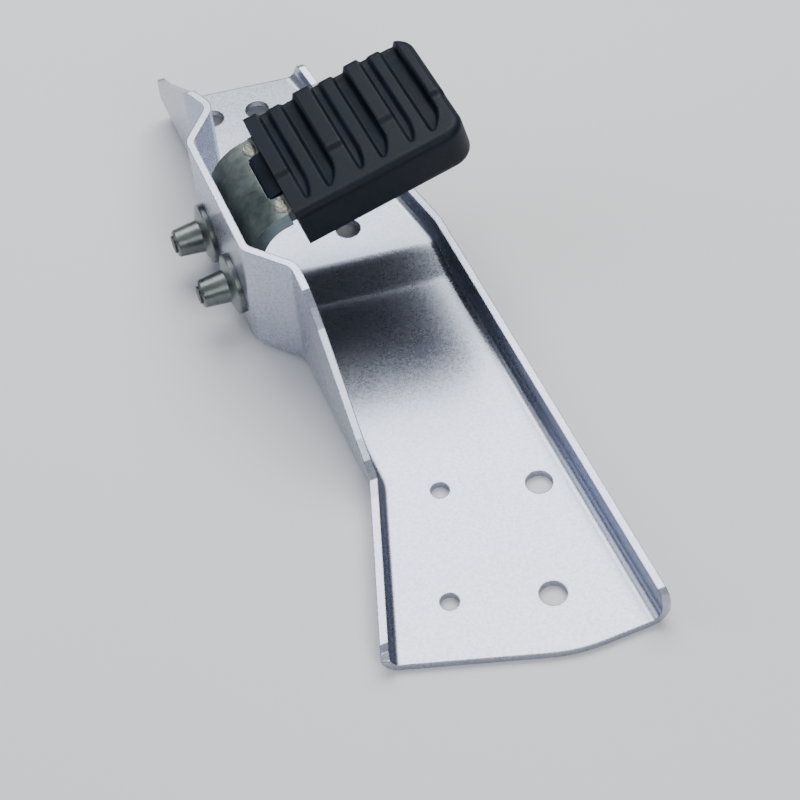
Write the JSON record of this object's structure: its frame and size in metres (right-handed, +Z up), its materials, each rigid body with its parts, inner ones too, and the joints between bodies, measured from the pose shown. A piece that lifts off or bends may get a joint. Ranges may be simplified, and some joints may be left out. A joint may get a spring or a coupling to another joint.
{
  "type": "pedal bracket",
  "caption": "Pressed-steel mounting bracket with a bent pedal arm held by lockbolts and a ribbed rubber foot pad.",
  "frame": {"origin": "centre of the four front bolt holes, on the underside of the floor that rests on the mounting face", "axes": "+Y from the open front end towards the rear, along the bolt-hole columns; +X along the rows towards the low wall; +Z up, out of the mounting face"},
  "size_m": [0.1788, 0.2961, 0.0801],
  "materials": {
    "zinc_plate": "zinc plated, mottled satin",
    "arm_steel": "dull grey-green plating",
    "core_steel": "dull plating",
    "weld_metal": "rough",
    "pad_rubber": "moulded, semi-matt",
    "pin_steel": "satin, with a broken end",
    "collar_steel": "satin plating"
  },
  "bodies": {
    "root": {"base_bracket": "zinc_plate", "pedal_arm": "arm_steel", "pedal_core_plate": "core_steel", "weld_beads": "weld_metal", "pedal_pad": "pad_rubber", "lockbolt_pins": "pin_steel", "lockbolt_collars": "collar_steel"}
  },
  "joints": []
}
